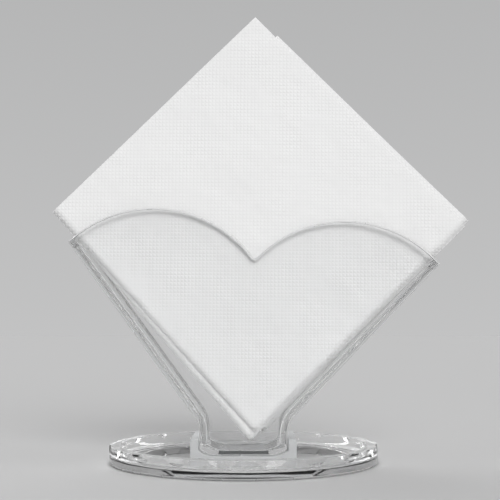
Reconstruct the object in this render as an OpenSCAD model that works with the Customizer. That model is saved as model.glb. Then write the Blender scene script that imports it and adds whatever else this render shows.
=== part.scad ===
// Clear table stand for folded paper napkins.
// A round dished base carries a frosted seat, the seat grips the foot of a heart-topped pocket,
// and the pocket holds a stack of napkins set corner down.
// Millimetres, +Z up, +Y to the back, origin on the table under the middle of the base.

/* [Base] */
// Outer diameter of the base
base_d = 109; // [100:1:140]
// Height of the base's rim above the table
base_h = 7; // [6:0.25:10]
// Thickness of the base's floor
base_floor = 2; // [1.6:0.1:3]
// Width of the rim across its top
rim_w = 4.6; // [3.5:0.1:8]
// Radius of the hollow where the rim meets the floor
dish_r = 3; // [1:0.25:3.5]
// Bevel round the edge that stands on the table
base_bevel = 0.6; // [0.2:0.1:1.2]
// Number of half moons ground round the top of the rim
moon_count = 20; // [12:1:22]
// Height of one half moon at its middle
moon_h = 2.8; // [2:0.1:4.5]
// How deep a half moon is ground into the rim at its top
moon_deep = 1.2; // [0.8:0.1:1.6]
// Radius of the wheel that grinds a half moon
moon_r = 22; // [16:0.5:26]
// Turn of the ring of half moons to the right, in degrees
moon_turn = 1.7; // [0:0.1:9]

/* [Seat] */
// Thickness of the seat's two side walls
seat_wall = 3.3; // [1.5:0.1:5]
// Thickness of the seat's floor, under the pocket's foot
seat_floor = 2.5; // [1.5:0.1:4]
// Height of the seat's walls above its floor
seat_wall_h = 6.8; // [4:0.1:10]
// How far the seat reaches in front of the foot, and behind it
seat_lip = 2; // [1:0.1:4]
// Rounding of the seat's upright corners and wall tops
seat_round = 1; // [0.4:0.1:1.4]
// How deep the seat is let into the floor of the base
seat_inset = 0.8; // [0.4:0.1:1]
// Gap between the seat and its recess in the base
seat_gap = 0.1; // [0.05:0.05:0.3]

/* [Pocket] */
// Width of the pocket across the ends of its two legs
pocket_w = 150; // [130:1:160]
// Depth of the pocket from front to back, outside
pocket_dep = 28.7; // [24:0.1:36]
// Thickness of the front and back plates
plate_t = 2; // [1.5:0.1:3]
// Thickness of the side walls
side_t = 2.5; // [1.5:0.1:3.5]
// Thickness of the pocket's floor
pocket_floor = 1.6; // [1.2:0.1:3]
// Width of the neck and foot, outside
neck_w = 35; // [28:0.5:44]
// Height of the bends above the underside of the foot
bend_h = 12.7; // [11:0.1:18]
// Radius on the outside of each bend
bend_r = 11.5; // [4:0.5:16]
// Radius of the curve that lifts each end of the foot's underside
foot_r = 13; // [8:0.5:20]
// How far that curve has lifted where it meets the side of the neck
foot_rise = 2.3; // [1:0.1:4]
// Radius of the curve inside the pocket that lifts each end of its floor
floor_r = 11.7; // [8:0.1:20]
// How far that inner curve has lifted where it meets the side wall
floor_rise = 2.8; // [1:0.1:4]
// Height of the ends of the legs above the underside of the foot
end_h = 80.5; // [70:0.5:90]
// Height of the notch between the two lobes above the underside of the foot
notch_h = 77.5; // [68:0.5:84]
// Turn of the legs and lobes to the right above the level foot, in degrees
leg_turn = 3.9; // [0:0.1:5]
// Radius of each lobe of the heart
lobe_r = 50; // [46:0.5:60]
// Rounding at the bottom of the notch
notch_r = 1.5; // [0.5:0.1:4]
// Gap between the foot and the seat's walls
foot_gap = 0.15; // [0.05:0.05:0.4]

/* [Napkins] */
// Length of a folded napkin's lower right and upper left edges
napkin_w = 117; // [100:0.5:130]
// Length of a folded napkin's lower left and upper right edges
napkin_l = 122.5; // [100:0.5:130]
// Thickness of one folded napkin
napkin_t = 1.1; // [0.8:0.05:1.4]
// Number of napkins in the stack
napkin_count = 10; // [4:1:12]
// Air between one napkin and the next
napkin_gap = 0.12; // [0.1:0.02:0.3]
// Air between the stack and the front plate
stack_gap = 0.3; // [0.2:0.1:1]
// Air between the napkins' edges and the legs that hold them up
rest_gap = 0.25; // [0.1:0.05:0.5]
// Least angle between the napkins' edges and the right leg, which they lie along, in degrees
lie_angle = 0.35; // [0.2:0.05:1]
// Largest further turn of a napkin away from that leg, in degrees
fan_turn = 1.7; // [0:0.1:2]

/* [Hidden] */
$fn = 96;

// Overrun of every cut past the face that it opens
over = 1;

// Colours
clear_tint = [0.86, 0.9, 0.93, 0.35];
frost_tint = [0.8, 0.81, 0.82];
paper_white = [0.97, 0.97, 0.96];

// Base
base_r = base_d / 2;
dish_top_r = base_r - rim_w;
moon_step = 360 / moon_count;
moon_tilt = atan(moon_deep / moon_h);

// Seat, from its underside in the recess up to where the foot stands
seat_w = neck_w + 2 * (foot_gap + seat_wall);
seat_dep = pocket_dep + 2 * seat_lip;
seat_z = base_floor - seat_inset;
seat_h = seat_floor + seat_wall_h;
foot_z = seat_z + seat_floor;

// Pocket outline, measured up from the underside of the foot
leg_run = pocket_w / 2 - neck_w / 2;
leg_angle = atan(leg_run / (end_h - bend_h));
lobe_half_chord = norm([pocket_w / 2, end_h - notch_h]) / 2;
lobe_drop = sqrt(lobe_r * lobe_r - lobe_half_chord * lobe_half_chord);
lobe_slope = atan((end_h - notch_h) / (pocket_w / 2));
lobe_x = pocket_w / 4 + lobe_drop * sin(lobe_slope);
lobe_z = (end_h + notch_h) / 2 - lobe_drop * cos(lobe_slope);
lobe_top = lobe_z + lobe_r;

// Legs, by side: -1 is the left one and 1 the right one. A leg's line, drawn in from outside by inset,
// leans out from the top of the neck, and the lobes turn with the legs about the middle of the bends.
function leg_lean(side) = leg_angle + side * leg_turn;
function leg_x(side, inset, z) =
    side * (neck_w / 2 - inset / cos(leg_lean(side)) + (z - bend_h) * tan(leg_lean(side)));
function turned(p) = [
    p.x * cos(leg_turn) + (p.y - bend_h) * sin(leg_turn),
    (p.y - bend_h) * cos(leg_turn) - p.x * sin(leg_turn) + bend_h
];

// Inner upper edge of a leg: where the inside of its wall meets the lobe's circle
function inner_edge(side) =
    let (
        middle = turned([side * lobe_x, lobe_z]),
        start = [leg_x(side, side_t, bend_h), bend_h] - middle,
        along = [side * sin(leg_lean(side)), cos(leg_lean(side))],
        back = start * along
    )
    middle + start + along * (sqrt(lobe_r * lobe_r - start * start + back * back) - back);
edge_span = inner_edge(1) - inner_edge(-1);
edge_middle = (inner_edge(1) + inner_edge(-1)) / 2;
edge_slope = atan2(edge_span.y, edge_span.x);

// Napkin stack
turn_shares = [0.6, 0.1, 0.45, 0, 0.75, 0.2, 1, 0.35, 0.05, 0.5, 0.9, 0.25];
fan_room = 90 - leg_lean(1) - leg_lean(-1) - 2 * lie_angle;
least_turn = 45 - leg_lean(1) - lie_angle;
napkin_pitch = napkin_t + napkin_gap;
stack_front_y = -pocket_dep / 2 + plate_t + stack_gap;

module clear_plastic() {
    color(clear_tint) children();
}

// Stands a flat outline up: its height becomes Z, and it spans depth t about the middle
module upright(t) {
    rotate([90, 0, 0])
        linear_extrude(t, center = true)
            children();
}

module rounded_rect(w, d, r) {
    square([w, d - 2 * r], center = true);
    square([w - 2 * r, d], center = true);
    for (x = [-1, 1], y = [-1, 1])
        translate([x * (w / 2 - r), y * (d / 2 - r)])
            circle(r);
}

// Base: a dish turned about Z, with its floor, hollow and rim
module dish_section() {
    difference() {
        polygon([
            [0, 0],
            [base_r - base_bevel, 0],
            [base_r, base_bevel],
            [base_r, base_h],
            [0, base_h]
        ]);
        translate([0, base_floor + dish_r])
            square([dish_top_r, base_h]);
        translate([0, base_floor])
            square([dish_top_r - dish_r, base_h]);
        translate([dish_top_r - dish_r, base_floor + dish_r])
            circle(dish_r);
    }
}

// The leaning wheel that hollows one half moon out of the rim, and runs out at the outer wall
module moon_cut() {
    translate([base_r - moon_deep, 0, base_h])
        rotate([0, -moon_tilt, 0])
            translate([moon_r, 0])
                cylinder(h = 2 * base_h, r = moon_r, center = true);
}

module base_dish() {
    clear_plastic()
        difference() {
            rotate_extrude()
                dish_section();
            for (k = [0:moon_count - 1])
                rotate([0, 0, (k + 1 / 2) * moon_step + moon_turn])
                    moon_cut();
            translate([0, 0, seat_z])
                linear_extrude(seat_inset + over)
                    rounded_rect(seat_w + 2 * seat_gap, seat_dep + 2 * seat_gap, seat_round + seat_gap);
        }
}

// Seat: a frosted channel, open to the front, the back and the top, that takes the foot between its walls
module foot_seat() {
    slot_half_w = neck_w / 2 + foot_gap;
    slot_rise = foot_rise - foot_gap;
    color(frost_tint)
        translate([0, 0, seat_z])
            difference() {
                linear_extrude(seat_h)
                    rounded_rect(seat_w, seat_dep, seat_round);
                upright(seat_dep + 2 * over)
                    difference() {
                        translate([-slot_half_w, seat_floor])
                            square([2 * slot_half_w, seat_wall_h + over]);
                        lifted_corners(slot_half_w, seat_floor, foot_r, slot_rise);
                    }
                for (x = [-1, 1])
                    translate([x * seat_w / 2, 0, seat_h])
                        upright(seat_dep + 2 * over)
                            wall_top_cut(-x);
            }
}

// What rounding takes off an upper corner; side is the direction of the material
module wall_top_cut(side) {
    difference() {
        square(2 * seat_round, center = true);
        translate([side * seat_round, -seat_round])
            circle(seat_round);
        translate([side * seat_round, -2 * seat_round])
            square(2 * seat_round, center = true);
        translate([2 * side * seat_round, -seat_round])
            square(2 * seat_round, center = true);
    }
}

// What is taken off the two lower corners of an outline, outside an arc of radius r that runs on from
// the flat floor and has lifted by rise where it meets the side
module lifted_corners(half_w, low, r, rise) {
    run = sqrt(2 * r * rise - rise * rise);
    for (x = [-1, 1])
        difference() {
            translate([x * (half_w - run / 2 + over / 2), low + rise / 2])
                square([run + over, rise + 2 * over], center = true);
            translate([x * (half_w - run), low + r])
                circle(r);
        }
}

// Neck and legs of the pocket, drawn in from the outside by inset, from height low up past the lobes.
// Each bend is a corner filled out to the middle of its circle, with the circle then taken away.
module forked_outline(inset, low, r, rise) {
    half_w = neck_w / 2 - inset;
    round_r = bend_r + inset;
    high = lobe_top + lobe_r;
    function tangent(side) = round_r * tan(leg_lean(side) / 2);
    function corner_z(side) = bend_h + inset * tan(leg_lean(side) / 2);
    function bend_middle(side) = [side * (half_w + round_r), corner_z(side) - tangent(side)];
    function side_line(side) = [
        [side * half_w, low],
        [side * half_w, corner_z(side) - tangent(side)],
        bend_middle(side),
        [
            side * (half_w + tangent(side) * sin(leg_lean(side))),
            corner_z(side) + tangent(side) * cos(leg_lean(side))
        ],
        [leg_x(side, inset, high), high]
    ];
    left_line = side_line(-1);
    difference() {
        polygon(concat(side_line(1), [for (k = [1:len(left_line)]) left_line[len(left_line) - k]]));
        for (side = [-1, 1])
            translate(bend_middle(side))
                circle(round_r);
        lifted_corners(half_w, low, r, rise);
    }
}

// The two lobes, filled in to below the foot, with a small rounding in the notch between them
module heart_top() {
    notch_z = lobe_z + sqrt((lobe_r + notch_r) * (lobe_r + notch_r) - lobe_x * lobe_x);
    touch_share = lobe_r / (lobe_r + notch_r);
    touch_x = lobe_x * (1 - touch_share);
    touch_z = lobe_z + (notch_z - lobe_z) * touch_share;
    for (x = [-1, 1])
        translate([x * lobe_x, lobe_z])
            circle(lobe_r);
    translate([-lobe_x, -bend_h])
        square([2 * lobe_x, lobe_z + bend_h]);
    difference() {
        polygon([[0, lobe_z], [touch_x, touch_z], [0, notch_z], [-touch_x, touch_z]]);
        translate([0, notch_z])
            circle(notch_r);
    }
}

module pocket() {
    clear_plastic()
        translate([0, 0, foot_z])
            difference() {
                upright(pocket_dep)
                    intersection() {
                        forked_outline(0, 0, foot_r, foot_rise);
                        translate([0, bend_h])
                            rotate(-leg_turn)
                                translate([0, -bend_h])
                                    heart_top();
                    }
                upright(pocket_dep - 2 * plate_t)
                    forked_outline(side_t, pocket_floor, floor_r, floor_rise);
            }
}

// A napkin's lower corner lies on the circle over the legs' two inner edges,
// so that a square corner turned by any angle rests on both of them
module napkin(i) {
    turn = least_turn - min(fan_turn, fan_room) * turn_shares[i - 1];
    reach = norm(edge_span) / 2 - rest_gap;
    swing = 2 * turn - edge_slope;
    corner = edge_middle + reach * [sin(swing), -cos(swing)];
    color(paper_white)
        translate([0, stack_front_y + (i - 1) * napkin_pitch + napkin_t / 2, foot_z])
            upright(napkin_t)
                translate(corner)
                    rotate(45 + turn)
                        square([napkin_w, napkin_l]);
}

base_dish();
foot_seat();
pocket();
for (i = [1:napkin_count])
    napkin(i);
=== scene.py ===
# %% [markdown]
# # A clear table stand for folded paper napkins
#
# The stand is three moulded pieces: a round dished base of clear plastic, a frosted seat let into it,
# and a clear pocket with a heart-shaped top. Ten paper napkins stand in the pocket, corner down.
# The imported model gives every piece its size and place. This lesson draws each one anew, with soft edges
# and real folds, and gives it its finish.

# %% Load the frame
import math

import bpy
import numpy as np
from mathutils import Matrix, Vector


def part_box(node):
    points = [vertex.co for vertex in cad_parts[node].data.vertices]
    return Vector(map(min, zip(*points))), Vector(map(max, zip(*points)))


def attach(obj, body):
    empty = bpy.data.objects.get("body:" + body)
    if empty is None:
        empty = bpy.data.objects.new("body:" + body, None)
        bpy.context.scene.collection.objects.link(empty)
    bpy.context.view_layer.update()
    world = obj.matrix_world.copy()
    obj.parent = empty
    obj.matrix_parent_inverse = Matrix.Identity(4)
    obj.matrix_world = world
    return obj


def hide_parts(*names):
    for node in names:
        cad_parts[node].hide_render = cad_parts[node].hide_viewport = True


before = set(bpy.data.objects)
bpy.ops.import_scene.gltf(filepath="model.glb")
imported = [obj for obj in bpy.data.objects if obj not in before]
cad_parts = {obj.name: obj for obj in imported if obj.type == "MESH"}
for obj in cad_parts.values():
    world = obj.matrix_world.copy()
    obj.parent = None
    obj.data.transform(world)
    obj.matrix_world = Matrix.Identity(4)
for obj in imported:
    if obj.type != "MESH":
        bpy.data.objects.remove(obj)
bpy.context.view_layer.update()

MM = 0.001

# %% [markdown]
# ## Making a mesh
#
# Nearly all the shapes here are grids of points joined by four-sided faces, or outlines carried from
# front to back. They could be pulled out of a cube by hand, one extrusion after another, but then a size
# would be hard to change later. So numpy works out all the points at once, and Blender takes the arrays.


# %% Mesh from a grid
def grid_faces(rows, columns, closed=False):
    """Four-sided faces between the points of a grid, numbered row by row.

    Face (r, c) joins point (r, c) to its neighbours in the next column and row. A closed grid
    joins its last column to its first.
    """
    r = np.arange(rows - 1)[:, None] * columns
    c = np.arange(columns if closed else columns - 1)[None, :]
    after = (c + 1) % columns
    corners = [r + c, r + after, r + after + columns, r + c + columns]
    return np.stack(corners, axis=-1).reshape(-1, 4)


def new_piece(name, points, faces, material, sharp_degrees):
    """A mesh object at the origin, smooth but for edges that turn by more than sharp_degrees."""
    mesh = bpy.data.meshes.new(name)
    mesh.from_pydata(np.asarray(points).reshape(-1, 3), [], faces)
    mesh.validate()
    mesh.shade_smooth()
    mesh.set_sharp_from_angle(angle=math.radians(sharp_degrees))
    mesh.materials.append(material)
    piece = bpy.data.objects.new(name, mesh)
    bpy.context.scene.collection.objects.link(piece)
    print(name, "points:", len(mesh.vertices), "faces:", len(mesh.polygons))
    return piece


print("a grid of 3 by 4 points has", len(grid_faces(3, 4)), "faces")

# %% [markdown]
# ## Finishes
#
# No moulded or pressed surface is perfectly even. A painted picture could show that, but it would stretch
# round the corners. So one node group gives mottling in space to all the materials: each places it with
# its own scale and limits, and uses it for roughness and for relief.

# %% Shared mottling
NOISE_DETAIL = 3
NOISE_LOW = 0.3
NOISE_HIGH = 0.7


def mottling_group():
    """Noise over the surface, given out as a value between Low and High and as a height from 0 to 1."""
    group = bpy.data.node_groups.new("mottling", "ShaderNodeTree")
    for socket in ("Vector", "Scale", "Low", "High"):
        kind = "NodeSocketVector" if socket == "Vector" else "NodeSocketFloat"
        group.interface.new_socket(socket, in_out="INPUT", socket_type=kind)
    for socket in ("Value", "Height"):
        group.interface.new_socket(socket, in_out="OUTPUT", socket_type="NodeSocketFloat")
    inside = group.nodes.new("NodeGroupInput")
    outside = group.nodes.new("NodeGroupOutput")
    noise = group.nodes.new("ShaderNodeTexNoise")
    noise.inputs["Detail"].default_value = NOISE_DETAIL
    spread = group.nodes.new("ShaderNodeMapRange")
    spread.inputs["From Min"].default_value = NOISE_LOW
    spread.inputs["From Max"].default_value = NOISE_HIGH
    link = group.links.new
    link(inside.outputs["Vector"], noise.inputs["Vector"])
    link(inside.outputs["Scale"], noise.inputs["Scale"])
    link(noise.outputs["Fac"], spread.inputs["Value"])
    link(inside.outputs["Low"], spread.inputs["To Min"])
    link(inside.outputs["High"], spread.inputs["To Max"])
    link(spread.outputs["Result"], outside.inputs["Value"])
    link(noise.outputs["Fac"], outside.inputs["Height"])
    return group


MOTTLING = mottling_group()
print("made node group", MOTTLING.name)

# %% [markdown]
# Every finish below starts from one Principled shader. It could be wired by hand in the node editor, but
# four finishes share most of their wiring. So these helpers make the start, place the shared mottling,
# and lay relief over relief, and each finish adds only its own values.


# %% Material helpers
def new_material(name):
    """An empty material with a Principled shader on its output; gives back the pieces to wire up."""
    material = bpy.data.materials.new(name)
    material.use_nodes = True
    nodes = material.node_tree.nodes
    nodes.clear()
    output = nodes.new("ShaderNodeOutputMaterial")
    shader = nodes.new("ShaderNodeBsdfPrincipled")
    material.node_tree.links.new(shader.outputs["BSDF"], output.inputs["Surface"])
    return material, nodes, material.node_tree.links.new, shader, output


def place_mottling(nodes, link, vector, scale, low, high):
    """The mottling group with this material's own values."""
    mottling = nodes.new("ShaderNodeGroup")
    mottling.node_tree = MOTTLING
    mottling.inputs["Scale"].default_value = scale
    mottling.inputs["Low"].default_value = low
    mottling.inputs["High"].default_value = high
    link(vector, mottling.inputs["Vector"])
    return mottling


def add_bump(nodes, link, height, depth, strength, under=None):
    """Relief of the given depth in metres, laid over another relief where there is one."""
    bump = nodes.new("ShaderNodeBump")
    bump.inputs["Distance"].default_value = depth
    bump.inputs["Strength"].default_value = strength
    link(height, bump.inputs["Height"])
    if under is not None:
        link(under.outputs["Normal"], bump.inputs["Normal"])
    return bump


def math_node(nodes, link, operation, *values):
    """A Math node with its inputs linked; gives back its output."""
    node = nodes.new("ShaderNodeMath")
    node.operation = operation
    for socket, value in zip(node.inputs, values):
        link(value, socket)
    return node.outputs["Value"]


def mixed_tint(nodes, link, amount, dark, pale):
    """A colour that goes from dark to pale as amount goes from 0 to 1; gives back its output."""
    tint = nodes.new("ShaderNodeMix")
    tint.data_type = "RGBA"
    tint.inputs["A"].default_value = dark
    tint.inputs["B"].default_value = pale
    link(amount, tint.inputs["Factor"])
    return tint.outputs["Result"]


# %% [markdown]
# The base and the pocket are clear moulded plastic, which bends light much as window glass does. Its
# shadow is far lighter than that of a solid thing. Tracing all the bent light would show that, but slowly
# and with much noise, so shadow rays pass through a nearly clear shader instead. The pocket's edges and
# the ring that the base stands on have a second, satin finish, which scatters part of the light.

# %% Clear plastic
PLASTIC_IOR = 1.49
MARKS_SCALE = 60
MARKS_DEEP = 0.03 * MM
SHADOW_TINT = (0.942, 0.944, 0.945, 1)
INSIDE_TINT = (0.537, 0.538, 0.54, 1)
INSIDE_DENSITY = 10


def clear_plastic(name, tint, clear, low, high):
    """Plastic as clear as its clear share, with faint handling marks: roughness runs from low to high."""
    material, nodes, link, shader, output = new_material(name)
    shader.inputs["Base Color"].default_value = tint
    shader.inputs["Transmission Weight"].default_value = clear
    shader.inputs["IOR"].default_value = PLASTIC_IOR
    place = nodes.new("ShaderNodeTexCoord").outputs["Object"]
    marks = place_mottling(nodes, link, place, scale=MARKS_SCALE, low=low, high=high)
    link(marks.outputs["Value"], shader.inputs["Roughness"])
    waviness = add_bump(nodes, link, marks.outputs["Height"], depth=MARKS_DEEP, strength=0.2)
    link(waviness.outputs["Normal"], shader.inputs["Normal"])
    rays = nodes.new("ShaderNodeLightPath")
    thin = nodes.new("ShaderNodeBsdfTransparent")
    thin.inputs["Color"].default_value = SHADOW_TINT
    either = nodes.new("ShaderNodeMixShader")
    link(rays.outputs["Is Shadow Ray"], either.inputs["Fac"])
    link(shader.outputs["BSDF"], either.inputs[1])
    link(thin.outputs["BSDF"], either.inputs[2])
    link(either.outputs["Shader"], output.inputs["Surface"])
    inside = nodes.new("ShaderNodeVolumeAbsorption")
    inside.inputs["Color"].default_value = INSIDE_TINT
    inside.inputs["Density"].default_value = INSIDE_DENSITY
    link(inside.outputs["Volume"], output.inputs["Volume"])
    return material


CLEAR = clear_plastic("polished_clear", (0.988, 0.989, 0.99, 1), clear=1, low=0.0, high=0.012)
SATIN = clear_plastic("satin_edge", (0.95, 0.952, 0.955, 1), clear=0.5, low=0.2, high=0.35)
print("made", CLEAR.name, "and", SATIN.name)

# %% [markdown]
# The seat has a fine blasted texture, which scatters light and turns the same plastic pale grey. Its
# grain is too fine for geometry, so relief in the material carries it, and a little transmission lets
# light sink in.

# %% Frosted plastic
FROST_DARK = (0.66, 0.67, 0.68, 1)
FROST_PALE = (0.74, 0.75, 0.755, 1)
FROST_SCALE = 90
GRAIN_SCALE = 5000
GRAIN_DEEP = 0.06 * MM


def frosted_plastic():
    """Pale grey plastic that lets some light in, with a fine even grain."""
    material, nodes, link, shader, _ = new_material("frosted_grain")
    shader.inputs["Transmission Weight"].default_value = 0.3
    shader.inputs["IOR"].default_value = PLASTIC_IOR
    place = nodes.new("ShaderNodeTexCoord").outputs["Object"]
    cloud = place_mottling(nodes, link, place, scale=FROST_SCALE, low=0.45, high=0.6)
    link(cloud.outputs["Value"], shader.inputs["Roughness"])
    tint = mixed_tint(nodes, link, cloud.outputs["Height"], FROST_DARK, FROST_PALE)
    link(tint, shader.inputs["Base Color"])
    grain = place_mottling(nodes, link, place, scale=GRAIN_SCALE, low=0, high=1)
    blasted = add_bump(nodes, link, grain.outputs["Height"], depth=GRAIN_DEEP, strength=0.5)
    link(blasted.outputs["Normal"], shader.inputs["Normal"])
    return material


FROSTED = frosted_plastic()
print("made", FROSTED.name)

# %% [markdown]
# The napkins are soft white paper, pressed with a linen grid whose threads run at 45 degrees to the
# edges. Geometry for every thread would be far too heavy, so the grid is relief in the material, with
# painted shade in its grooves: the colour is darker where the relief is low. It is drawn on the sheet's
# own map, so it turns the corner at a fold as real pressing does.

# %% Napkin paper
MAP_SIDE = 250 * MM
THREAD_PITCH = 1.45 * MM
THREAD_TURN = math.radians(45)
# Painted shade for the low grooves of the linen grid; the pale colour is the paper's own white.
PAPER_GROOVE_SHADE = (0.84, 0.84, 0.838, 1)
PAPER_PALE = (0.905, 0.905, 0.902, 1)
WAVE_SCALE = 28
WAVE_DEEP = 3 * MM
FIBRE_SCALE = 2600
FIBRE_DEEP = 0.03 * MM
PRESS_SCALE = 75
LINEN_DEEP = 0.17 * MM


def linen_squares(nodes, link, sheet_map):
    """Heights of the pressed squares: the lesser of two ridges, each a sine's size across the threads."""
    turn = nodes.new("ShaderNodeMapping")
    turn.inputs["Rotation"].default_value = (0, 0, THREAD_TURN)
    turn.inputs["Scale"].default_value = (math.pi * MAP_SIDE / THREAD_PITCH,) * 3
    link(sheet_map, turn.inputs["Vector"])
    across = nodes.new("ShaderNodeSeparateXYZ")
    link(turn.outputs["Vector"], across.inputs["Vector"])
    waves = [math_node(nodes, link, "SINE", across.outputs[axis]) for axis in ("X", "Y")]
    ridges = [math_node(nodes, link, "ABSOLUTE", wave) for wave in waves]
    return math_node(nodes, link, "MINIMUM", *ridges)


def napkin_paper():
    """White paper: squares pressed more firmly here than there, over fine fibres and slow waves; the grooves
    between the squares get painted shade.
    """
    material, nodes, link, shader, _ = new_material("napkin_paper")
    shader.inputs["Sheen Weight"].default_value = 0.15
    shader.inputs["Sheen Roughness"].default_value = 0.6
    shader.inputs["Specular IOR Level"].default_value = 0.25
    coordinates = nodes.new("ShaderNodeTexCoord")
    squares = linen_squares(nodes, link, coordinates.outputs["UV"])
    place = coordinates.outputs["Object"]
    slow = place_mottling(nodes, link, place, scale=WAVE_SCALE, low=0.82, high=0.95)
    fibre = place_mottling(nodes, link, place, scale=FIBRE_SCALE, low=0, high=1)
    pressed = place_mottling(nodes, link, place, scale=PRESS_SCALE, low=0.25, high=1)
    relief = math_node(nodes, link, "MULTIPLY", squares, pressed.outputs["Value"])
    # Painted shade: the colour darkens where the pressed relief is low, in the grid's grooves.
    tint = mixed_tint(nodes, link, relief, PAPER_GROOVE_SHADE, PAPER_PALE)
    link(tint, shader.inputs["Base Color"])
    link(slow.outputs["Value"], shader.inputs["Roughness"])
    waves = add_bump(nodes, link, slow.outputs["Height"], depth=WAVE_DEEP, strength=0.8)
    fuzz = add_bump(nodes, link, fibre.outputs["Height"], depth=FIBRE_DEEP, strength=0.4, under=waves)
    linen = add_bump(nodes, link, relief, depth=LINEN_DEEP, strength=0.8, under=fuzz)
    link(linen.outputs["Normal"], shader.inputs["Normal"])
    return material


PAPER = napkin_paper()
print("made", PAPER.name)

# %% [markdown]
# ## The base
#
# The base is a shallow dish with twenty half moons ground round its rim. A lathe shape would lose
# them, and cutting them out of one would leave long thin faces. So the profile is worked out afresh for
# each direction round the axis: where the grinding wheel bit in, the wall leans in along the hollow that
# it left, and elsewhere it stays upright.

# %% Base sizes
_, base_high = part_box("base_dish")
BASE_R = base_high.x
BASE_H = base_high.z
BASE_FLOOR = 2 * MM
RIM_W = 4.6 * MM
HOLLOW_R = 3 * MM
FOOT_BEVEL = 0.6 * MM
FOOT_RING = 4 * MM
MOONS = 20
MOON_H = 2.8 * MM
MOON_DEEP = 1.2 * MM
MOON_R = 22 * MM
MOON_TURN = math.radians(1.7)
RECESS_DEEP = 0.8 * MM
RECESS_GAP = 0.1 * MM
RECESS_ROUND = 1.1 * MM
RECESS_RING = 2 * MM
seat_low, seat_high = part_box("foot_seat")
print("base, width and height in mm:", round(2 * BASE_R / MM, 1), round(BASE_H / MM, 1))

# %% Half moons
TRY_STEPS = 2000
moon_lean = MOON_DEEP / MOON_H
wheel_wide = MOON_R * math.hypot(1, moon_lean)


def wall_above_moon(off):
    """How far the round wall stands out past a half moon's hollow at the rim's top, off its middle.

    The wheel's level cut is an ellipse, MOON_R by wheel_wide, whose innermost point lies MOON_DEEP
    inside the wall. Both it and the wall fall away to the side, by their own roundness.
    """
    side = BASE_R * np.sin(off)
    return MOON_DEEP - BASE_R * (1 - np.cos(off)) - wheel_wide * (1 - np.sqrt(1 - (side / MOON_R) ** 2))


tries = np.linspace(0, math.pi / MOONS, TRY_STEPS)
moon_half_turn = float(np.interp(0, -wall_above_moon(tries), tries))
print("half moon, width in mm:", round(2 * BASE_R * math.sin(moon_half_turn) / MM, 1))

# %% Corners and recess
CORNER_STEPS = 8
TINY = 1e-9


def rounded_corners(corners, softness):
    """A polyline with each inner corner replaced by a circular arc.

    corners is (corner, direction round, 2). The arc starts softness before the corner and ends the
    same distance after it: points are the weighted mean of start, corner and end, with weights
    (1-t)^2, 2wt(1-t) and t^2, where w is the cosine of half the turn.
    """
    ahead = np.diff(corners, axis=0)
    ahead /= np.linalg.norm(ahead, axis=-1, keepdims=True)
    middle = corners[1:-1]
    reach = np.asarray(softness)[:, None, None]
    start = middle - ahead[:-1] * reach
    end = middle + ahead[1:] * reach
    cosine = np.sum(ahead[:-1] * ahead[1:], axis=-1)
    bend = np.sqrt((1 + cosine) / 2)[..., None]
    t = np.linspace(0, 1, CORNER_STEPS)[:, None, None, None]
    weights = [(1 - t) ** 2, 2 * bend * t * (1 - t), t**2]
    total = weights[0] + weights[1] + weights[2]
    arcs = (weights[0] * start + weights[1] * middle + weights[2] * end) / total
    return np.swapaxes(arcs, 0, 1).reshape(-1, corners.shape[1], 2)


def rectangle_radius(angle, half_w, half_d, r):
    """Distance from the middle to a rounded rectangle's edge in a direction: side, side or corner arc."""
    c, s = np.abs(np.cos(angle)), np.abs(np.sin(angle))
    flat = np.minimum(half_w / np.maximum(c, TINY), half_d / np.maximum(s, TINY))
    mx, my = half_w - r, half_d - r
    along = c * mx + s * my
    arc = along + np.sqrt(np.maximum(along**2 - mx**2 - my**2 + r**2, 0))
    in_corner = (flat * c > mx) & (flat * s > my)
    return np.where(in_corner, arc, flat)


recess_half_w = seat_high.x + RECESS_GAP
recess_half_d = seat_high.y + RECESS_GAP
print("recess, width and depth in mm:", round(2 * recess_half_w / MM, 1), round(2 * recess_half_d / MM, 1))

# %% Base grid
RIM_SOFT = 0.5 * MM
FOOT_SOFT = 0.2 * MM
CREASE_SOFT = 0.04 * MM
OUTER_SOFT = 0.22 * MM
INNER_SOFT = 0.3 * MM
RECESS_TOP_SOFT = 0.12 * MM
RECESS_LOW_SOFT = 0.1 * MM
MOON_STEPS = 25
PLAIN_STEPS = 8


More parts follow.
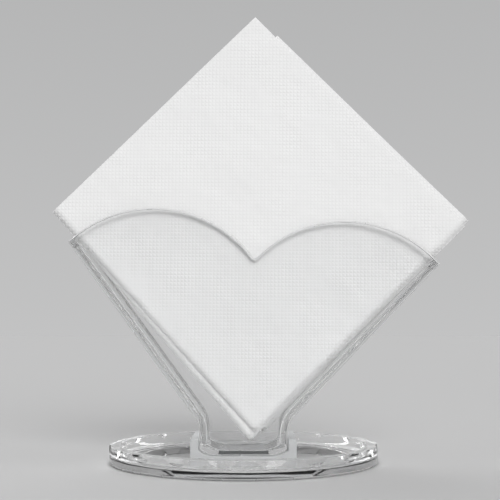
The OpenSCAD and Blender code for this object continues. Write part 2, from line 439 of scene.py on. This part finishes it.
def base_grid():
    """Points of the dish, as (row along the profile, direction round the axis, xyz).

    The profile runs from the ring that the dish stands on, up its outer wall, over the rim and down the
    hollow to the seat's recess. Each row of corner_list is a corner's radius, height and softness.
    """
    step = 2 * math.pi / MOONS
    turn = np.concatenate([
        np.linspace(-moon_half_turn, moon_half_turn, MOON_STEPS),
        np.linspace(moon_half_turn, step - moon_half_turn, PLAIN_STEPS)[1:-1],
    ])
    middles = (np.arange(MOONS) + 0.5) * step + MOON_TURN
    angle = (middles[:, None] + turn[None, :]).ravel()
    off = np.tile(turn, MOONS)
    ground = np.abs(off) <= moon_half_turn
    bite = np.where(ground, np.maximum(wall_above_moon(np.where(ground, off, 0)), 0), 0)
    top_r = BASE_R - bite
    crease = BASE_H - np.maximum(bite / moon_lean, RIM_SOFT)
    recess = rectangle_radius(angle, recess_half_w, recess_half_d, RECESS_ROUND)
    dish_r = BASE_R - RIM_W
    even = np.ones_like(angle)
    corner_list = [
        ((BASE_R - FOOT_RING) * even, 0 * even, 0),
        ((BASE_R - FOOT_BEVEL) * even, 0 * even, FOOT_SOFT),
        (BASE_R * even, FOOT_BEVEL * even, FOOT_SOFT),
        (BASE_R * even, crease, CREASE_SOFT),
        (top_r, BASE_H * even, OUTER_SOFT),
        (dish_r * even, BASE_H * even, INNER_SOFT),
        (dish_r * even, BASE_FLOOR * even, HOLLOW_R),
        (recess, BASE_FLOOR * even, RECESS_TOP_SOFT),
        (recess, (BASE_FLOOR - RECESS_DEEP) * even, RECESS_LOW_SOFT),
        (recess - RECESS_RING, (BASE_FLOOR - RECESS_DEEP) * even, 0),
    ]
    corners = np.array([(r, z) for r, z, _ in corner_list]).transpose(0, 2, 1)
    softness = [soft for _, _, soft in corner_list[1:-1]]
    rows = np.concatenate([corners[:1], rounded_corners(corners, softness), corners[-1:]])
    r, z = rows[..., 0], rows[..., 1]
    return np.stack([r * np.cos(angle), r * np.sin(angle), z], axis=-1)


base_points = base_grid()
rows, columns = base_points.shape[:2]
print("base grid, rows and columns:", rows, columns)

# %% Base piece
FOOT_CORNERS = 2


def second_finish(piece, material, faces):
    """Gives the numbered faces of a piece another finish; edges softened afterwards take it too."""
    piece.data.materials.append(material)
    finish = np.zeros(len(piece.data.polygons), dtype=np.int32)
    finish[faces] = 1
    piece.data.polygons.foreach_set("material_index", finish)


def settle(piece, body, node):
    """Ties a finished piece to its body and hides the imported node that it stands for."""
    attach(piece, body)
    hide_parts(node)


base_faces = grid_faces(rows, columns, closed=True).tolist()
under_cap = list(range(columns))[::-1]
recess_cap = list(range((rows - 1) * columns, rows * columns))
dish = new_piece("clear_base", base_points, base_faces + [under_cap, recess_cap], CLEAR, sharp_degrees=14)
foot_faces = np.arange(FOOT_CORNERS * CORNER_STEPS * columns)
second_finish(dish, SATIN, foot_faces)
settle(dish, "base", "base_dish")

# %% [markdown]
# ## The seat
#
# The seat is a frosted channel that the pocket's foot stands in. Its outline, seen from the front, is a
# square-cut U whose floor curves up at both ends to follow the foot. It is the same all the way through,
# so there is no need to cut a slot out of a block: the outline is carried straight from front to back.

# %% Seat outline
NECK_W = 35 * MM
FOOT_GAP = 0.15 * MM
SEAT_FLOOR = 2.5 * MM
SEAT_ROUND = 1 * MM
FOOT_R = 13 * MM
FOOT_RISE = 2.3 * MM
ROUND_STEPS = 8
FLOOR_STEPS = 12


def arc(middle, r, start, end, steps):
    """Points (x, z) on a circle from angle start to angle end, in radians."""
    angle = np.linspace(start, end, steps)
    return np.stack([middle[0] + r * np.cos(angle), middle[1] + r * np.sin(angle)], axis=-1)


def lifted_end(side, half_w, low, r, rise):
    """The curve at one end of a floor, from its flat stretch out to where it meets the wall.

    It is an arc of radius r that climbs by rise, so it runs out sideways by the root of 2 r rise - rise^2.
    """
    run = math.sqrt(2 * r * rise - rise**2)
    sweep = math.asin(run / r)
    middle = (side * (half_w - run), low + r)
    return arc(middle, r, -math.pi / 2, -math.pi / 2 + side * sweep, FLOOR_STEPS)


def seat_outline():
    """The U seen from the front, anticlockwise from its lower right corner."""
    half_w = seat_high.x
    low, high = seat_low.z, seat_high.z
    slot_w = NECK_W / 2 + FOOT_GAP
    right_floor = lifted_end(1, slot_w, low + SEAT_FLOOR, FOOT_R, FOOT_RISE - FOOT_GAP)
    right = np.concatenate([
        [(half_w, low)],
        arc((half_w - SEAT_ROUND, high - SEAT_ROUND), SEAT_ROUND, 0, math.pi / 2, ROUND_STEPS),
        [(slot_w, high)],
        right_floor[::-1],
    ])
    left = right[::-1] * (-1, 1)
    return np.concatenate([right, left])


outline = seat_outline()
count = len(outline)
print("seat outline, points:", count)

# %% Seat piece
SEAT_SOFT = 0.45 * MM
SOFT_SEGMENTS = 3
SOFT_ABOVE = math.radians(35)


def strip_faces(front, back):
    """Four-sided faces between two rows of point numbers.

    Where both rows run along +X, and front lies before back, the faces look down.
    """
    return np.stack([front[:-1], back[:-1], back[1:], front[1:]], axis=-1)


def soften_edges(piece, width):
    """Rounds every sharp edge and keeps the flat faces flat; the rounding takes the piece's last finish."""
    bevel = piece.modifiers.new("soft_edges", "BEVEL")
    bevel.material = len(piece.data.materials) - 1
    bevel.width = width
    bevel.segments = SOFT_SEGMENTS
    bevel.limit_method = "ANGLE"
    bevel.angle_limit = SOFT_ABOVE
    bevel.use_clamp_overlap = False
    bevel.harden_normals = True


depth = np.array([seat_low.y, seat_high.y])
seat_points = np.empty((2, count, 3))
seat_points[..., 0] = outline[:, 0]
seat_points[..., 1] = depth[:, None]
seat_points[..., 2] = outline[:, 1]
loop = np.append(np.arange(count), 0)
seat_faces = strip_faces(loop, loop + count).tolist()
seat_faces += [list(range(count)), list(range(count, 2 * count))[::-1]]
seat = new_piece("frosted_seat", seat_points, seat_faces, FROSTED, sharp_degrees=30)
soften_edges(seat, SEAT_SOFT)
settle(seat, "base", "foot_seat")

# %% [markdown]
# ## The pocket
#
# The pocket is two flat plates joined round the edge by a wall, and open along the top. Seen from the
# front, a narrow neck bends out into two straight legs, and two lobes of a heart close the top of each
# plate. A block with its inside cut away would do, but its edges would be hard to round evenly. So the
# outside and inside outlines are worked out from the same few sizes and joined by strips of faces. A
# leg's wall keeps its thickness round the bend because the inner arc shares the outer arc's middle.

# %% Pocket sizes
pocket_low, pocket_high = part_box("pocket")
POCKET_W = 150 * MM
PLATE_T = 2 * MM
SIDE_T = 2.5 * MM
POCKET_FLOOR = 1.6 * MM
FLOOR_R = 11.7 * MM
FLOOR_RISE = 2.8 * MM
BEND_H = 12.7 * MM
BEND_R = 11.5 * MM
END_H = 80.5 * MM
NOTCH_H = 77.5 * MM
LOBE_R = 50 * MM
NOTCH_R = 1.5 * MM
LEG_TURN = math.radians(3.9)
leg_angle = math.atan((POCKET_W - NECK_W) / 2 / (END_H - BEND_H))
lobe_half_chord = math.hypot(POCKET_W / 2, END_H - NOTCH_H) / 2
lobe_drop = math.sqrt(LOBE_R**2 - lobe_half_chord**2)
lobe_slope = math.atan((END_H - NOTCH_H) / (POCKET_W / 2))
lobe_x = POCKET_W / 4 + lobe_drop * math.sin(lobe_slope)
lobe_z = (END_H + NOTCH_H) / 2 - lobe_drop * math.cos(lobe_slope)
notch_z = lobe_z + math.sqrt((LOBE_R + NOTCH_R) ** 2 - lobe_x**2)
print("legs lean by", round(math.degrees(leg_angle), 1), "degrees")

# %% Legs and bends
BEND_STEPS = 20


def turned(x, z):
    """A point of the heart turned with the legs about the middle of the bends."""
    c, s = math.cos(LEG_TURN), math.sin(LEG_TURN)
    return np.array([x * c + (z - BEND_H) * s, (z - BEND_H) * c - x * s + BEND_H])


lobe_middles = {side: turned(side * lobe_x, lobe_z) for side in (-1, 1)}
notch_middle = turned(0, notch_z)


def leg_end(side, inset):
    """Where the leg's line, drawn in by inset, meets the circle of its lobe."""
    lean = leg_angle + side * LEG_TURN
    along = np.array([side * math.sin(lean), math.cos(lean)])
    start = np.array([side * (NECK_W / 2 - inset / math.cos(lean)), BEND_H])
    apart = start - lobe_middles[side]
    back = apart @ along
    return start + along * (math.sqrt(LOBE_R**2 - apart @ apart + back**2) - back)


def half_fork(side, inset, low, r, rise):
    """One side of the fork: floor curve, neck, bend and leg, from the bottom up."""
    lean = leg_angle + side * LEG_TURN
    half_w = NECK_W / 2 - inset
    bend_r = BEND_R + inset
    tangent_z = BEND_H + (inset - bend_r) * math.tan(lean / 2)
    middle = (side * (half_w + bend_r), tangent_z)
    inward = math.pi if side > 0 else 0
    bend = arc(middle, bend_r, inward, inward - side * lean, BEND_STEPS)
    return np.concatenate([lifted_end(side, half_w, low, r, rise), bend, [leg_end(side, inset)]])


def fork(inset, low, r, rise):
    """The open outline from the left leg's end, round the foot, to the right leg's end."""
    left = half_fork(-1, inset, low, r, rise)
    right = half_fork(1, inset, low, r, rise)
    return np.concatenate([left[::-1], right])


outer = fork(0, 0, FOOT_R, FOOT_RISE)
inner = fork(SIDE_T, POCKET_FLOOR, FLOOR_R, FLOOR_RISE)
print("fork, outer and inner points:", len(outer), len(inner))

# %% Heart
LOBE_STEPS = 72
NOTCH_STEPS = 12


def angle_to(start, end):
    """The direction from one point to another, as an angle."""
    return math.atan2(end[1] - start[1], end[0] - start[0])


def heart():
    """The top edge from the right leg's inner edge over both lobes to the left leg's inner edge."""
    right_start = angle_to(lobe_middles[1], leg_end(1, SIDE_T))
    right_touch = angle_to(lobe_middles[1], notch_middle)
    left_touch = angle_to(lobe_middles[-1], notch_middle)
    left_end = angle_to(lobe_middles[-1], leg_end(-1, SIDE_T)) % (2 * math.pi)
    return np.concatenate([
        arc(lobe_middles[1], LOBE_R, right_start, right_touch, LOBE_STEPS),
        arc(notch_middle, NOTCH_R, right_touch - math.pi, left_touch - math.pi, NOTCH_STEPS)[1:-1],
        arc(lobe_middles[-1], LOBE_R, left_touch, left_end, LOBE_STEPS),
    ])


top = heart()
print("heart, points:", len(top))


# %% Pocket mesh
def in_plane(points, y):
    """Outline points (x, z) set up at depth y, measured up from the underside of the foot."""
    return np.stack([points[:, 0], np.full(len(points), y), points[:, 1] + pocket_low.z], axis=-1)


def pocket_mesh():
    """All points and faces of the pocket as one closed skin, and the numbers of its top edges' faces.

    Points run in blocks: outer outline and top edge on the front, the same on the back, then the
    top edge inside the front plate and the back plate, then the inner outline between its ends.
    """
    y_front, y_back = pocket_low.y, pocket_high.y
    y_in, y_out = y_front + PLATE_T, y_back - PLATE_T
    n_outer, n_top, n_inner = len(outer), len(top), len(inner) - 2
    whole = np.concatenate([outer, top])
    n = len(whole)
    blocks = [(whole, y_front), (whole, y_back), (top, y_in), (top, y_out),
              (inner[1:-1], y_in), (inner[1:-1], y_out)]
    points = np.concatenate([in_plane(p, y) for p, y in blocks])
    front = np.arange(n)
    back = front + n
    top_in = 2 * n + np.arange(n_top)
    top_out = top_in + n_top
    lower_in = 2 * n + 2 * n_top + np.arange(n_inner)
    inside_in = np.concatenate([top_in[-1:], lower_in, top_in[:1]])
    inside_out = np.concatenate([top_out[-1:], lower_in + n_inner, top_out[:1]])
    right, left = n_outer - 1, 0
    first, last = n_outer, n - 1
    faces = [[right, right + n, first + n, top_out[0], top_in[0], first]]
    faces.append([last, top_in[-1], top_out[-1], last + n, left + n, left])
    faces += strip_faces(front[n_outer:], top_in).tolist()
    faces += strip_faces(top_out, back[n_outer:]).tolist()
    top_faces = np.arange(len(faces))
    faces += strip_faces(front[:n_outer], back[:n_outer]).tolist()
    faces += strip_faces(inside_out, inside_in).tolist()
    faces += [front.tolist(), back[::-1].tolist()]
    inner_loop = np.concatenate([inside_in[:-1], top_in[:-1]])
    outer_loop = np.concatenate([inside_out[:-1], top_out[:-1]])
    faces += [inner_loop[::-1].tolist(), outer_loop.tolist()]
    return points, faces, top_faces


pocket_points, pocket_faces, top_faces = pocket_mesh()
print("pocket, points and satin faces:", len(pocket_points), len(top_faces))

# %% Pocket piece
POCKET_SOFT = 0.55 * MM
pocket = new_piece("clear_pocket", pocket_points, pocket_faces, CLEAR, sharp_degrees=30)
second_finish(pocket, SATIN, top_faces)
soften_edges(pocket, POCKET_SOFT)
settle(pocket, "pocket", "pocket")

# %% [markdown]
# ## The napkins
#
# Each napkin is one sheet, nearly square, folded in half and in half again. A cloth simulation could fold
# it, but slowly, and its edges would be hard to place. So folding is worked out on the sheet's own map:
# past the bend a point lies on the straight run, and within it on a half circle. The second fold does the
# same to the doubled sheet.
# The closed corner stands up and the open edges lie in the pocket. The front napkin is folded a little
# askew, and those behind it are a little short. All share one gentle bow across their width, so one can
# slide up past the next.

# %% Folding
LAYER_PITCH = 0.25 * MM
STRAIGHT_STEPS = 44
FOLD_STEPS = 12


def fold_steps(side, short, radius):
    """Distances from the fold line at which the sheet is sampled: even runs, and finer over the bend.

    Either run is as long as the folded napkin's side, but for the little that it falls short.
    """
    half_bend = math.pi * radius / 2
    run = np.linspace(side - short[0], half_bend, STRAIGHT_STEPS, endpoint=False)
    other = np.linspace(side - short[1], half_bend, STRAIGHT_STEPS, endpoint=False)
    return np.concatenate([-run, np.linspace(-half_bend, half_bend, FOLD_STEPS), other[::-1]])


def folded(along, height, radius):
    """Folds a strip at zero: gives the distance from the fold and the new height.

    Past the bend the distance is |along| less half the bend's length, and the height is plus or minus
    (radius + height). Within it, the point turns about the fold line by along / radius.
    """
    half_bend = math.pi * radius / 2
    turn = np.clip(along, -half_bend, half_bend) / radius
    reach = radius + height
    distance = np.abs(along) - half_bend
    return np.where(distance > 0, distance, -reach * np.cos(turn)), reach * np.sin(turn)


print("bends of the two folds, lengths in mm:", [round(math.pi * LAYER_PITCH * n / MM, 2) for n in (0.5, 1)])

# %% Napkin in place
FOLD_REACH = 1.5 * LAYER_PITCH
BOW_DEEP = 1.2 * MM
BOW_WIDE = 130 * MM


def napkin_frame(node):
    """The slab's lower corner (x, z), its lower right and lower left edges, and its middle depth."""
    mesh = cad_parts[node].data
    points = np.empty(len(mesh.vertices) * 3, dtype=np.float32)
    mesh.vertices.foreach_get("co", points)
    points = points.reshape(-1, 3).astype(float)
    low = points[points[:, 2].argmin()][[0, 2]]
    right = points[points[:, 0].argmax()][[0, 2]]
    left = points[points[:, 0].argmin()][[0, 2]]
    return low, right - low, left - low, points[:, 1].mean()


def bow(x):
    """How far back the stack bows at x: a raised cosine across its width, never forward of its slab."""
    return BOW_DEEP * (1 - np.cos(2 * math.pi * x / BOW_WIDE)) / 2


def napkin_points(node, short_u, short_v, askew, uneven, drop, out):
    """The folded sheet in place: (steps along u, steps along v, xyz), with its flat map and its size.

    A first fold that runs askew leaves either half longer at one end and shorter at the other. A sheet
    that isn't cut quite square makes one half longer at both ends. Either way the edge moves by the
    amount given at the lower corner, and less and less towards the second fold, which lies drop below
    the slab's edge. The whole napkin stands out past the slab to the upper right by out.
    """
    corner, right_edge, left_edge, middle_y = napkin_frame(node)
    side_u, side_v = np.linalg.norm(right_edge), np.linalg.norm(left_edge)
    u = fold_steps(side_u, short_u, LAYER_PITCH / 2)
    v = fold_steps(side_v - drop, short_v, LAYER_PITCH)
    flat_u, flat_v = np.meshgrid(u, v, indexing="ij")
    moved = (askew * flat_v + uneven * np.abs(flat_v)) / side_v
    flat_u = flat_u * (1 - np.sign(flat_u) * moved / side_u)
    a, height = folded(flat_u, 0, LAYER_PITCH / 2)
    b, height = folded(flat_v, height, LAYER_PITCH)
    in_u = ((a + FOLD_REACH - out) / side_u)[..., None]
    in_v = ((b + FOLD_REACH + drop) / side_v)[..., None]
    spot = corner + (1 - in_u) * right_edge + (1 - in_v) * left_edge
    points = np.stack([spot[..., 0], middle_y + height + bow(spot[..., 0]), spot[..., 1]], axis=-1)
    flat = np.stack([flat_u, flat_v], axis=-1)
    return points, flat, (2 * side_u, 2 * (side_v - drop))


front_sides = [np.linalg.norm(edge) for edge in napkin_frame("napkin_1")[1:3]]
print("front napkin, folded sides in mm:", [round(float(side / MM), 1) for side in front_sides])

# %% One napkin
PAPER_T = 0.13 * MM


def napkin(number, short_u, short_v, askew, uneven, drop, out):
    """One folded napkin with its sheet map and the paper's thickness."""
    node = f"napkin_{number}"
    points, flat, sheet_size = napkin_points(node, short_u, short_v, askew, uneven, drop, out)
    faces = grid_faces(*points.shape[:2])
    piece = new_piece(f"paper_napkin_{number}", points, faces.tolist(), PAPER, sharp_degrees=180)
    sheet_map = piece.data.uv_layers.new(name="sheet")
    corner_points = np.empty(len(piece.data.loops), dtype=np.int32)
    piece.data.loops.foreach_get("vertex_index", corner_points)
    on_map = flat.reshape(-1, 2)[corner_points] / MAP_SIDE + 0.5
    sheet_map.data.foreach_set("uv", on_map.astype(np.float32).ravel())
    thick = piece.modifiers.new("paper", "SOLIDIFY")
    thick.thickness = PAPER_T
    thick.offset = 0
    settle(piece, node, node)


# %% Ten napkins
FRONT_ASKEW = 5.5 * MM
FRONT_UNEVEN = 1.6 * MM
SECOND_OUT = 1.35 * MM
DROPS = np.array([0, 3.5, 7, 12]) * MM
LAST_DROP = DROPS[1]
SHORT_IN_MM = (0.2, 1.8)
UNEVEN_IN_MM = (1.5, 5)
MISFOLD_SEED = 7
napkin_count = sum(name.startswith("napkin_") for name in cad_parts)
misfold = np.random.default_rng(MISFOLD_SEED)
for number in range(1, napkin_count + 1):
    short = misfold.uniform(*SHORT_IN_MM, size=(2, 2)) * MM
    uneven = misfold.uniform(*UNEVEN_IN_MM) * MM
    drop = misfold.choice(DROPS)
    askew = 0
    if number == 1:
        askew, uneven, drop = FRONT_ASKEW, FRONT_UNEVEN, 0
    if number == napkin_count:
        drop = LAST_DROP
    out = SECOND_OUT if number == 2 else 0
    napkin(number, short[0], short[1], askew, uneven, drop, out)
print("napkins:", napkin_count)

# %% [markdown]
# ## Stage, light and camera
#
# A pale floor runs out to a pale sky, so the clear edges show as soft greys. One small lamp would give
# hard shadows and lose the paper's relief in glare. So a broad, soft sun lights the front and a weaker
# one the back, and two tall panels beside the stand draw the bright lines along its edges. The camera
# stands low in front and looks up a little.

# %% Floor
FLOOR_HALF = 30
FLOOR_DROP = 0.2 * MM
FLOOR_GREY = (0.605, 0.605, 0.605, 1)


def pale_floor():
    """A plain matt sheet, just under the base so that the two never share a plane."""
    material, _, _, shader, _ = new_material("pale_floor")
    shader.inputs["Base Color"].default_value = FLOOR_GREY
    shader.inputs["Roughness"].default_value = 0.9
    shader.inputs["Specular IOR Level"].default_value = 0
    corners = np.array([(-1, -1, 0), (1, -1, 0), (1, 1, 0), (-1, 1, 0)]) * FLOOR_HALF
    floor = new_piece("floor", corners - (0, 0, FLOOR_DROP), [(0, 1, 2, 3)], material, sharp_degrees=30)


pale_floor()

# %% Sky
SKY_LOW = (0.54, 0.541, 0.543, 1)
SKY_HIGH = (0.38, 0.382, 0.384, 1)
SKY_HIGH_FROM = 0.75
PLAIN_LIGHT = (0.54, 0.54, 0.543, 1)


def sky():
    """A pale sky for what the camera sees directly or through plastic, and a plain light for the rest."""
    world = bpy.data.worlds.new("studio")
    bpy.context.scene.world = world
    world.use_nodes = True
    nodes = world.node_tree.nodes
    nodes.clear()
    link = world.node_tree.links.new
    rays = nodes.new("ShaderNodeLightPath")
    seen = rays.outputs["Is Camera Ray"]
    for kind in ("Is Glossy Ray", "Is Transmission Ray"):
        seen = math_node(nodes, link, "MAXIMUM", seen, rays.outputs[kind])
    direction = nodes.new("ShaderNodeSeparateXYZ")
    link(nodes.new("ShaderNodeTexCoord").outputs["Generated"], direction.inputs["Vector"])
    ramp = nodes.new("ShaderNodeValToRGB")
    ramp.color_ramp.elements[0].position = 0.0
    ramp.color_ramp.elements[0].color = SKY_LOW
    ramp.color_ramp.elements[1].position = SKY_HIGH_FROM
    ramp.color_ramp.elements[1].color = SKY_HIGH
    link(direction.outputs["Z"], ramp.inputs["Fac"])
    pale = nodes.new("ShaderNodeBackground")
    link(ramp.outputs["Color"], pale.inputs["Color"])
    plain = nodes.new("ShaderNodeBackground")
    plain.inputs["Color"].default_value = PLAIN_LIGHT
    either = nodes.new("ShaderNodeMixShader")
    link(seen, either.inputs["Fac"])
    link(plain.outputs["Background"], either.inputs[1])
    link(pale.outputs["Background"], either.inputs[2])
    output = nodes.new("ShaderNodeOutputWorld")
    link(either.outputs["Shader"], output.inputs["Surface"])


sky()
print("world:", bpy.context.scene.world.name)

# %% Lamps
MIDDLE = (0, 0, 0.09)


def lamp(name, kind, place, energy, **settings):
    """A lamp at place, turned to look at the middle of the stand."""
    data = bpy.data.lights.new(name, kind)
    data.energy = energy
    for setting, value in settings.items():
        setattr(data, setting, value)
    holder = bpy.data.objects.new(name, data)
    holder.location = place
    holder.rotation_euler = (Vector(MIDDLE) - Vector(place)).to_track_quat("-Z", "Y").to_euler()
    bpy.context.scene.collection.objects.link(holder)
    return holder


sun = lamp("soft_sun", "SUN", place=(0.3, -1.15, 0.69), energy=1.55, angle=math.radians(40))
back = lamp("back_sun", "SUN", place=(-0.5, 0.95, 0.95), energy=0.7, angle=math.radians(60))
for light in (sun, back):
    light.visible_transmission = False
for side in (-1, 1):
    panel = lamp(f"edge_panel_{side + 2}", "AREA", place=(side * 0.55, 0.35, 0.3), energy=2.0,
                 shape="RECTANGLE", size=0.12, size_y=0.6)
    panel.visible_diffuse = False
    panel.visible_transmission = False

# %% Camera
CAMERA_PLACE = (2.6 * MM, -392 * MM, 51.5 * MM)
CAMERA_TILT = 5.1
SENSOR_W = 36
LENS = 67.9
camera_data = bpy.data.cameras.new("camera")
camera_data.sensor_width = SENSOR_W
camera_data.lens = LENS
camera = bpy.data.objects.new("camera", camera_data)
camera.location = CAMERA_PLACE
camera.rotation_euler = (math.radians(90 + CAMERA_TILT), 0, 0)
bpy.context.scene.collection.objects.link(camera)
bpy.context.scene.camera = camera
bpy.context.scene.view_settings.view_transform = "Standard"
print("camera looks up by", CAMERA_TILT, "degrees")
